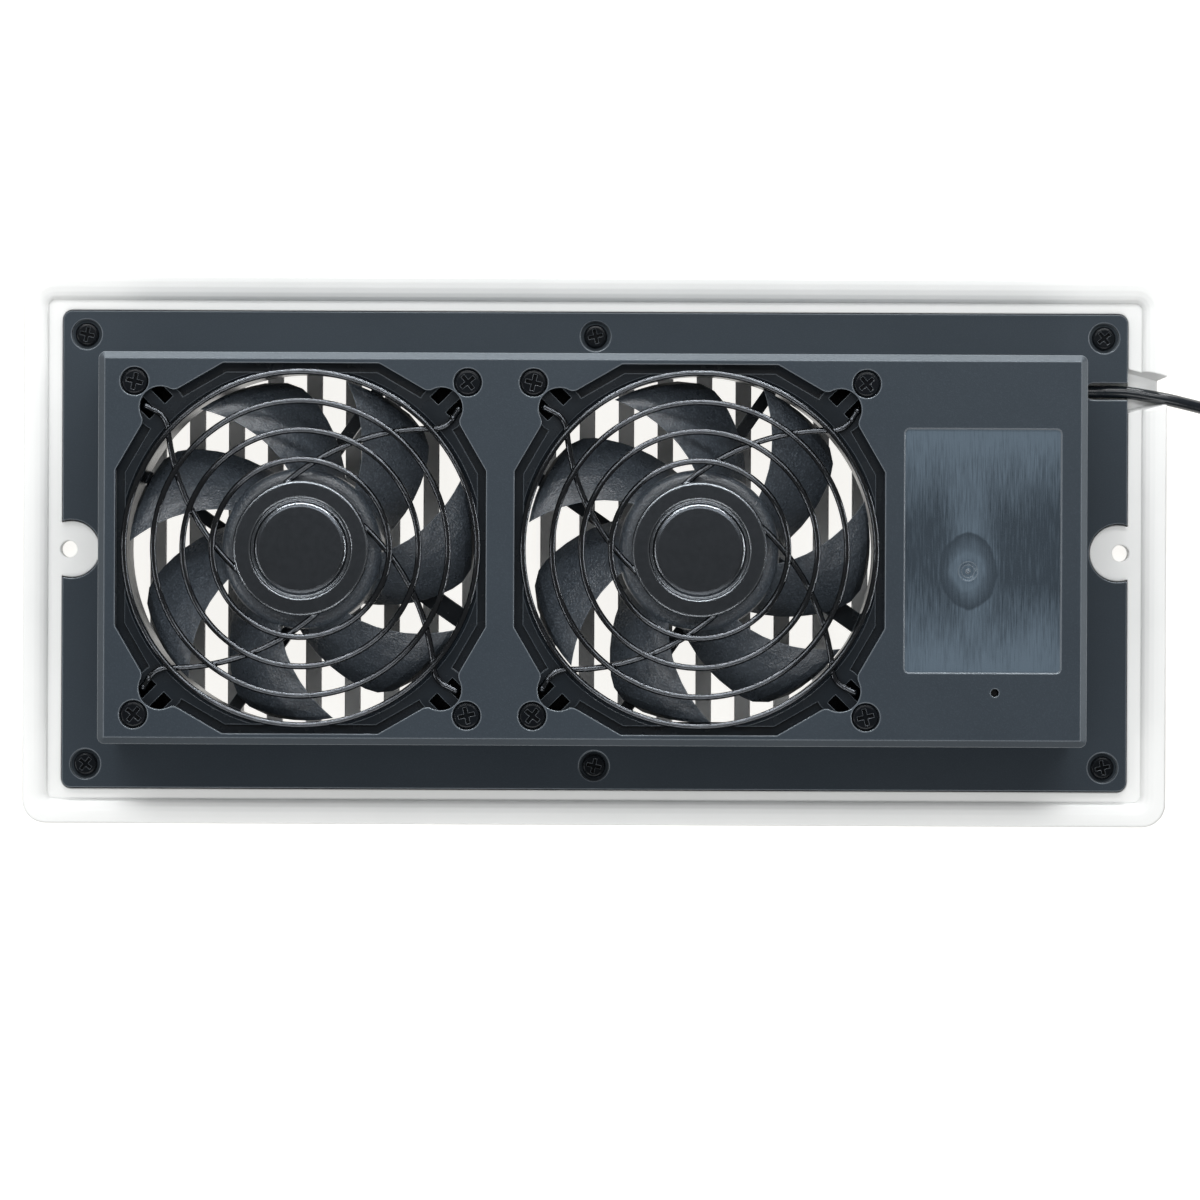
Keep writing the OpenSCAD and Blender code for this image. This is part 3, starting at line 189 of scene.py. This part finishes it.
# Materials: every pattern is in object space, with lengths in millimetres
MIX_A, MIX_B, MIX_RESULT = 6, 7, 2
BEVEL_SAMPLES = 6
EDGE_COS = (0.995, 0.93)
SOFT_NOISE = (0.35, 0.65)
WIDE_NOISE = (0.3, 0.7)


class Nodes:
    """A node tree with helpers."""

    def __init__(self, tree):
        self.tree = tree

    def new(self, kind, **settings):
        node = self.tree.nodes.new(kind)
        for key, value in settings.items():
            setattr(node, key, value)
        return node

    def link(self, output, socket):
        self.tree.links.new(output, socket)

    def put(self, value, socket):
        """Links an output, or sets a constant on the socket itself; a colour gets its alpha."""
        if isinstance(value, bpy.types.NodeSocket):
            self.link(value, socket)
        else:
            socket.default_value = (*value, 1) if isinstance(value, tuple) else value

    def math(self, operation, *values, clamp=False):
        node = self.new("ShaderNodeMath", operation=operation, use_clamp=clamp)
        for i, value in enumerate(values):
            self.put(value, node.inputs[i])
        return node.outputs[0]

    def by_ray(self, strengths):
        """The strength for each kind of ray, 0 for the kinds that aren't named."""
        path = self.new("ShaderNodeLightPath")
        total = 0.0
        for kind, strength in strengths.items():
            total = self.math("MULTIPLY_ADD", path.outputs[f"Is {kind} Ray"], strength, total)
        return total


class Looks(Nodes):
    """A Principled material with helpers for its patterns."""

    def __init__(self, name):
        self.name = name
        self.material = bpy.data.materials.new(name)
        self.material.use_nodes = True
        super().__init__(self.material.node_tree)
        self.shader = self.tree.nodes["Principled BSDF"]
        coords = self.new("ShaderNodeTexCoord")
        scale = self.new("ShaderNodeVectorMath", operation="SCALE")
        scale.inputs["Scale"].default_value = 1 / MM
        self.link(coords.outputs["Object"], scale.inputs[0])
        self.mm = scale.outputs[0]

    def set(self, name, value):
        self.put(value, self.shader.inputs[name])

    def product(self, first, *others):
        for other in others:
            first = self.math("MULTIPLY", first, other)
        return first

    def length(self, u, v):
        return self.math("SQRT", self.math("ADD", self.product(u, u), self.product(v, v)))

    def noise(self, size, detail=3, stretch=(1, 1, 1), roughness=0.5):
        """Noise from 0 to 1 whose features are about size millimetres across."""
        node = self.new("ShaderNodeTexNoise")
        vector = self.mm
        if stretch != (1, 1, 1):
            scaled = self.new("ShaderNodeVectorMath", operation="DIVIDE")
            self.link(self.mm, scaled.inputs[0])
            scaled.inputs[1].default_value = stretch
            vector = scaled.outputs[0]
        self.link(vector, node.inputs["Vector"])
        node.inputs["Scale"].default_value = 1 / size
        node.inputs["Detail"].default_value = detail
        node.inputs["Roughness"].default_value = roughness
        return node.outputs[0]

    def axis(self, name):
        split = self.new("ShaderNodeSeparateXYZ")
        self.link(self.mm, split.inputs[0])
        return split.outputs[name]

    def between(self, value, low, high, soft):
        """1 where low < value < high, with an edge as wide as soft."""
        rise = self.math("MULTIPLY_ADD", value, 1 / soft, -low / soft + 0.5, clamp=True)
        fall = self.math("MULTIPLY_ADD", value, -1 / soft, high / soft + 0.5, clamp=True)
        return self.product(rise, fall)

    def span(self, value, low, high, to_low, to_high):
        """The value's range from low to high, spread from to_low to to_high and held beyond."""
        node = self.new("ShaderNodeMapRange")
        self.put(value, node.inputs["Value"])
        ends = {"From Min": low, "From Max": high, "To Min": to_low, "To Max": to_high}
        for key, number in ends.items():
            node.inputs[key].default_value = number
        return node.outputs[0]

    def blend(self, mask, off, on):
        """The number off where the mask is 0, and on where it is 1."""
        return self.span(mask, 0, 1, off, on)

    def centred(self, value, at, half):
        """The value's distance from at, in halves."""
        return self.math("MULTIPLY_ADD", value, 1 / half, -at / half)

    def jitter(self, value, noise, amount):
        """The value moved to either side by the noise, by half the amount at most."""
        return self.math("MULTIPLY_ADD", noise, amount, self.math("ADD", value, -amount / 2))

    def mix(self, factor, a, b):
        node = self.new("ShaderNodeMix", data_type="RGBA")
        self.put(factor, node.inputs["Factor"])
        self.put(a, node.inputs[MIX_A])
        self.put(b, node.inputs[MIX_B])
        return node.outputs[MIX_RESULT]

    def patches(self, noise, color, tint):
        """Soft patches of both colours."""
        return self.mix(self.span(noise, *SOFT_NOISE, 0, 1), color, tint)

    def rounded(self, radius):
        """Hard edges shade as if rounded by the given radius in millimetres.

        Called before any bump. Gives 1 on the edges and 0 elsewhere.
        """
        node = self.new("ShaderNodeBevel", samples=BEVEL_SAMPLES)
        node.inputs["Radius"].default_value = radius * MM
        self.link(node.outputs[0], self.shader.inputs["Normal"])
        sharp = self.new("ShaderNodeNewGeometry")
        turned = self.new("ShaderNodeVectorMath", operation="DOT_PRODUCT")
        self.link(node.outputs[0], turned.inputs[0])
        self.link(sharp.outputs["True Normal"], turned.inputs[1])
        return self.span(turned.outputs["Value"], *EDGE_COS, 0, 1)

    def bump(self, height, depth, strength=1.0):
        """Bump of the given depth in millimetres. Calls add up."""
        node = self.new("ShaderNodeBump")
        node.inputs["Strength"].default_value = strength
        node.inputs["Distance"].default_value = depth * MM
        self.link(height, node.inputs["Height"])
        normal = self.shader.inputs["Normal"]
        if normal.is_linked:
            self.link(normal.links[0].from_socket, node.inputs["Normal"])
        self.link(node.outputs[0], normal)


TINT_SIZE = 22
MOTTLE_SIZE = 6
SPARKLE_NOISE = (0.48, 0.72)
EDGE_GLOSS = 0.7


def moulded(
        name, color, tint, rough, grain=0.25, grain_depth=0.012, specular=0.5, patchy=0.06,
        edge=0.2, edge_highlight=None, grain_sparkle=0.0):
    """Moulded plastic with slightly rounded edges, painted paler along the edges as painted
    highlight lines, and glossier there, if an edge colour is given.

    The grain is fine. Tint and gloss change slowly, and the grain's tops can be painted paler, as
    painted sparkle.
    """
    look = Looks(name)
    on_edge = look.rounded(edge)
    slow = look.noise(TINT_SIZE, detail=4)
    fine = look.noise(grain, detail=2)
    surface = look.patches(slow, color, tint)
    # Painted sparkle: where the fine grain is high, the base colour is made paler.
    if grain_sparkle:
        sparkle_color = tuple(c * (1 + grain_sparkle) for c in tint)
        surface = look.mix(look.span(fine, *SPARKLE_NOISE, 0, 1), surface, sparkle_color)
    # Painted highlight: the edges' base colour turns paler, as highlight lines along them.
    if edge_highlight:
        surface = look.mix(on_edge, surface, edge_highlight)
    look.set("Base Color", surface)
    mottle = look.noise(MOTTLE_SIZE, detail=5, roughness=0.6)
    gloss = look.span(mottle, *WIDE_NOISE, rough - patchy, rough + patchy)
    if edge_highlight:
        gloss = look.product(gloss, look.blend(on_edge, 1, EDGE_GLOSS))
    look.set("Roughness", gloss)
    look.set("Specular IOR Level", specular)
    look.bump(fine, grain_depth)
    look.bump(mottle, grain_depth * 2, strength=0.5)
    return look


LINE_SIZE = 0.3
LINE_SHADE = 0.82
LINE_GLOSS = (0.8, 1.25)
LINE_DEPTH = 0.006


def metal(name, color, rough, lines=(1, 1, 12)):
    """Drawn or turned metal with fine lines, stretched as lines says."""
    look = Looks(name)
    streaks = look.noise(LINE_SIZE, detail=3, stretch=lines)
    shaded = tuple(c * LINE_SHADE for c in color)
    look.set("Base Color", look.mix(look.span(streaks, *WIDE_NOISE, 0, 1), color, shaded))
    look.set("Metallic", 1.0)
    look.set("Roughness", look.span(streaks, *WIDE_NOISE, *(rough * part for part in LINE_GLOSS)))
    look.bump(streaks, LINE_DEPTH)
    return look


# Housing: colours, then places in the recessed panel
HOUSING_COLOR, HOUSING_TINT = (0.0215, 0.029, 0.0385), (0.025, 0.033, 0.043)
HOUSING_EDGE_HIGHLIGHT = (0.19, 0.212, 0.235)
HOUSING_SPECK = (0.06, 0.08, 0.1)
HOUSING_SHEEN = (0.82, 0.93, 1)
HOUSING_ROUGH, POLISHED_ROUGH = 0.42, 0.24
HOUSING_DEPTH = 0.02
PANEL_DARK, PANEL_RUBBED = (0.017, 0.026, 0.037), (0.076, 0.105, 0.135)
PANEL_AT, PANEL_HALF = (96.1, 0.0), (19.4, 30.25)
PANEL_Z = (44.0, 45.25)
PANEL_SOFT, PANEL_Z_SOFT = 0.3, 0.1
COLUMN_U, COLUMN_SOFT, COLUMN_LEVEL = (-0.4, 0.12), 0.4, 0.72
ENDS_V = (0.25, 0.95)
GATE_AT = (92.5, -5.0)
HALO_HALF = (7.2, 9.4)
DISH_FAR = (0.3, 0.36)
HALO_FAR, HALO_LEVEL = (0.5, 0.85), 0.8
RING_IN, RING_OUT = (0.5, 0.92), (0.96, 1.02)
RING_LEVEL, RING_GRIT = 0.1, 0.4
GRIT_NOISE, GRIT_LEVEL = (0.25, 0.75), 0.55
SPECK_NOISE, SPECK_LEVEL = (0.5, 0.8), 0.3


def housing_look():
    """Blue-grey black with painted highlight lines on its edges; the recessed panel is rubbed paler
    along Y and round the gate mark.
    """
    look = Looks("housing_plastic")
    on_edge = look.rounded(0.5)
    dark = look.patches(look.noise(30, detail=4), HOUSING_COLOR, HOUSING_TINT)
    x, y, z = look.axis("X"), look.axis("Y"), look.axis("Z")
    in_panel = look.product(
        look.between(x, PANEL_AT[0] - PANEL_HALF[0], PANEL_AT[0] + PANEL_HALF[0], PANEL_SOFT),
        look.between(y, PANEL_AT[1] - PANEL_HALF[1], PANEL_AT[1] + PANEL_HALF[1], PANEL_SOFT),
        look.between(z, *PANEL_Z, PANEL_Z_SOFT),
    )

    # Rubbed at both ends of the panel and along a column left of its middle
    streaks = look.noise(0.36, detail=4, stretch=(1, 22, 1), roughness=0.7)
    broad = look.noise(8, detail=3, stretch=(1, 2.6, 1))
    panel_u = look.centred(x, PANEL_AT[0], PANEL_HALF[0])
    panel_v = look.math("ABSOLUTE", look.centred(y, PANEL_AT[1], PANEL_HALF[1]))
    column = look.between(look.jitter(panel_u, broad, 0.7), *COLUMN_U, COLUMN_SOFT)
    ends = look.span(look.jitter(panel_v, broad, 0.5), *ENDS_V, 0, 1)
    level = look.math("MAXIMUM", ends, look.product(column, COLUMN_LEVEL))

    # Gate mark: a glossy dish in a rubbed halo, with a dark ring round it
    gate_far = look.length(
        look.centred(x, GATE_AT[0], HALO_HALF[0]), look.centred(y, GATE_AT[1], HALO_HALF[1]))
    in_dish = look.span(gate_far, *DISH_FAR, 1, 0)
    gate_far = look.jitter(gate_far, look.noise(5, detail=5), 0.3)
    ring = look.product(
        look.span(gate_far, *RING_IN, 0, 1), look.span(gate_far, *RING_OUT, 1, 0))
    halo = look.span(gate_far, *HALO_FAR, 1, 0)
    level = look.math("MAXIMUM", level, look.product(halo, HALO_LEVEL))
    level = look.product(level, look.blend(ring, 1, RING_LEVEL))
    grit = look.span(streaks, *GRIT_NOISE, -GRIT_LEVEL, GRIT_LEVEL)
    grit = look.product(grit, look.blend(ring, 1, RING_GRIT))
    level = look.math("ADD", level, grit, clamp=True)
    surface = look.mix(in_panel, dark, look.mix(level, PANEL_DARK, PANEL_RUBBED))

    specks = look.noise(0.3, detail=2)
    speckled = look.span(specks, *SPECK_NOISE, 0, SPECK_LEVEL)
    surface = look.mix(speckled, surface, HOUSING_SPECK)
    # Painted highlight: the edges' base colour is made paler, as highlight lines along them.
    look.set("Base Color", look.mix(on_edge, surface, HOUSING_EDGE_HIGHLIGHT))
    polished = look.math("MAXIMUM", on_edge, in_dish)
    look.set("Roughness", look.blend(polished, HOUSING_ROUGH, POLISHED_ROUGH))
    look.set("Specular IOR Level", 0.5)
    look.set("Specular Tint", HOUSING_SHEEN)
    look.bump(specks, HOUSING_DEPTH)
    look.bump(look.noise(5, detail=5, roughness=0.6), HOUSING_DEPTH, strength=0.5)
    return look


# Finger guards: places of the pressed discs, then colours
FAN_X = (-72.8, 26.0)
DISC_R, DISC_SOFT = 17.5, 0.2
WIRE_COLOR, WIRE_TINT, WIRE_ROUGH = (0.105, 0.112, 0.122), (0.13, 0.138, 0.15), 0.12
DISC_COLOR, DISC_TINT, DISC_ROUGH = (0.1, 0.11, 0.122), (0.115, 0.126, 0.14), 0.27
FOLD_HIGHLIGHT = (0.6, 0.64, 0.68)
PLATING_SIZE, PLATING_DEPTH = 1.5, 0.006


def guard_look():
    """Dark plated steel, duller on the pressed disc, with painted highlight on the disc's folds as
    a paler metal colour.
    """
    look = Looks("guard_wire")
    on_edge = look.rounded(0.6)
    x, y = look.axis("X"), look.axis("Y")
    off_centre = look.math(
        "MINIMUM", *(look.math("ABSOLUTE", look.math("SUBTRACT", x, at)) for at in FAN_X))
    on_disc = look.span(look.length(off_centre, y), DISC_R - DISC_SOFT, DISC_R, 1, 0)
    plating = look.noise(PLATING_SIZE, detail=4)
    wires = look.patches(plating, WIRE_COLOR, WIRE_TINT)
    disc = look.patches(plating, DISC_COLOR, DISC_TINT)
    surface = look.mix(on_disc, wires, disc)
    # Painted highlight: the folds of the pressed disc get a paler metal colour, as bright lines.
    look.set("Base Color", look.mix(look.product(on_edge, on_disc), surface, FOLD_HIGHLIGHT))
    look.set("Metallic", 1.0)
    look.set("Roughness", look.blend(on_disc, WIRE_ROUGH, DISC_ROUGH))
    look.bump(plating, PLATING_DEPTH)
    return look


def window_look():
    """Tinted clear plastic."""
    look = Looks("window")
    look.set("Base Color", (0.5, 0.55, 0.55))
    look.set("Roughness", look.span(look.noise(4), *WIDE_NOISE, 0.04, 0.09))
    look.set("Transmission Weight", 0.9)
    return look


ALL_LOOKS = [
    moulded("white_plastic", (0.865, 0.868, 0.855), (0.84, 0.846, 0.832), rough=0.42,
            grain=0.35, grain_depth=0.01, edge=0.6),
    housing_look(),
    moulded("fan_plastic", (0.008, 0.0115, 0.0155), (0.0105, 0.0145, 0.019), rough=0.26,
            grain=0.4, specular=0.4, patchy=0.04, edge=0.3, edge_highlight=(0.12, 0.14, 0.16)),
    moulded("blade_plastic", (0.04, 0.049, 0.06), (0.056, 0.067, 0.08), rough=0.3,
            grain=0.5, grain_depth=0.13, specular=1.0, edge=0.3, edge_highlight=(0.1, 0.125, 0.15),
            grain_sparkle=0.8),
    moulded("black_screw", (0.003, 0.004, 0.0055), (0.0045, 0.006, 0.008), rough=0.22,
            grain=0.6, grain_depth=0.01, specular=0.25, edge=0.16, edge_highlight=(0.13, 0.145, 0.16)),
    guard_look(),
    moulded("cord", (0.0065, 0.0095, 0.013), (0.01, 0.0135, 0.0175), rough=0.24,
            grain=0.8, specular=0.7),
    moulded("tie", (0.02, 0.02, 0.021), (0.03, 0.03, 0.031), rough=0.7,
            grain=0.3, grain_depth=0.03),
    moulded("adapter", (0.009, 0.009, 0.01), (0.014, 0.014, 0.015), rough=0.45,
            grain=0.5, grain_depth=0.03, specular=0.25),
    moulded("button", (0.8, 0.8, 0.79), (0.76, 0.76, 0.75), rough=0.38),
    moulded("nylon", (0.78, 0.78, 0.73), (0.72, 0.72, 0.66), rough=0.45),
    moulded("component", (0.02, 0.02, 0.022), (0.035, 0.035, 0.037), rough=0.4),
    moulded("sensor", (0.01, 0.01, 0.012), (0.016, 0.016, 0.018), rough=0.18),
    moulded("circuit_board", (0.012, 0.09, 0.035), (0.016, 0.12, 0.045), rough=0.25, grain=1.5),
    moulded("display", (0.03, 0.035, 0.033), (0.045, 0.05, 0.047), rough=0.12),
    moulded("ferrite", (0.035, 0.033, 0.03), (0.055, 0.05, 0.046), rough=0.6,
            grain_depth=0.03),
    metal("steel", (0.62, 0.62, 0.62), rough=0.28),
    metal("bronze", (0.5, 0.33, 0.16), rough=0.38),
    metal("prong", (0.5, 0.45, 0.33), rough=0.3, lines=(12, 1, 1)),
    metal("copper", (0.62, 0.23, 0.09), rough=0.3, lines=(1, 1, 0.6)),
    window_look(),
]
materials = {look.name: look.material for look in ALL_LOOKS}
slots = {s["node"]: s["material_slot"] for s in frame["record"]["subparts"]}
for name, node in nodes.items():
    node.data.materials.clear()
    node.data.materials.append(materials[slots[name]])
power_cord.data.materials.append(materials["cord"])
tie_strap.data.materials.append(materials["tie"])


# Floor
FLOOR_HALF = 6.0
FLOOR_DROP = 0.2
FLOOR_GREY = (0.42, 0.42, 0.41)
FLOOR_WHITE = (1, 0.985, 0.95)
FLOOR_GLOW = {"Camera": 0.9, "Glossy": 0.9, "Transmission": 0.9}


def floor_material():
    """White to the camera and in reflections, plain grey to the light."""
    material = bpy.data.materials.new("floor_white")
    material.use_nodes = True
    material.node_tree.nodes.clear()
    tree = Nodes(material.node_tree)
    output = tree.new("ShaderNodeOutputMaterial")
    add = tree.new("ShaderNodeAddShader")
    diffuse = tree.new("ShaderNodeBsdfDiffuse")
    tree.put(FLOOR_GREY, diffuse.inputs["Color"])
    glow = tree.new("ShaderNodeEmission")
    tree.put(FLOOR_WHITE, glow.inputs["Color"])
    tree.put(tree.by_ray(FLOOR_GLOW), glow.inputs["Strength"])
    tree.link(diffuse.outputs[0], add.inputs[0])
    tree.link(glow.outputs[0], add.inputs[1])
    tree.link(add.outputs[0], output.inputs["Surface"])
    return material


floor_mesh = bpy.data.meshes.new("floor")
floor_mesh.from_pydata(
    [(FLOOR_HALF * x, FLOOR_HALF * y, 0) for x, y in ((-1, -1), (1, -1), (1, 1), (-1, 1))],
    [], [(0, 1, 2, 3)],
)
floor_mesh.materials.append(floor_material())
floor = bpy.data.objects.new("floor", floor_mesh)
floor.location.z = -FLOOR_DROP * MM
scene.collection.objects.link(floor)


# Lights: positions and sizes in metres, power in watts; all look at the origin
LIGHTS_AIM = (0.0, 0.0, 0.0)
PLAIN, COOL, COOLER = (1, 1, 1), (0.98, 0.99, 1), (0.96, 0.98, 1)


def area_light(name, at, size, power, color):
    data = bpy.data.lights.new(name, "AREA")
    data.shape = "RECTANGLE"
    data.size, data.size_y = size
    data.energy = power
    data.color = color
    light = bpy.data.objects.new(name, data)
    light.location = at
    aim = Vector(LIGHTS_AIM) - Vector(at)
    light.rotation_euler = aim.to_track_quat("-Z", "Y").to_euler()
    light.visible_camera = False
    scene.collection.objects.link(light)


area_light("low_light", (0.0, 1.15, 0.105), size=(1.4, 0.12), power=15.5, color=COOL)
area_light("key_light", (0.0, 0.9, 0.75), size=(1.4, 0.12), power=6.0, color=COOL)
area_light("over_light", (0.0, 0.5, 1.25), size=(1.3, 0.25), power=4.6, color=COOLER)
area_light("left_light", (-0.92, -0.22, 0.6), size=(0.6, 0.1), power=1.3, color=PLAIN)
area_light("fill_light", (0.0, -0.75, 0.9), size=(1.2, 0.3), power=3.2, color=PLAIN)
area_light("right_light", (1.05, 0.0, 0.13), size=(0.7, 0.1), power=2.8, color=PLAIN)


# World: white to the camera and through the window, dim in reflections
WORLD_WHITE = (1, 1, 1)
WORLD_STRENGTH = {"Camera": 1.0, "Transmission": 1.0, "Glossy": 0.1, "Diffuse": 0.605}
world = bpy.data.worlds.new("studio")
world.use_nodes = True
scene.world = world
sky = Nodes(world.node_tree)
background = world.node_tree.nodes["Background"]
sky.put(WORLD_WHITE, background.inputs["Color"])
sky.put(sky.by_ray(WORLD_STRENGTH), background.inputs["Strength"])

bpy.context.view_layer.update()
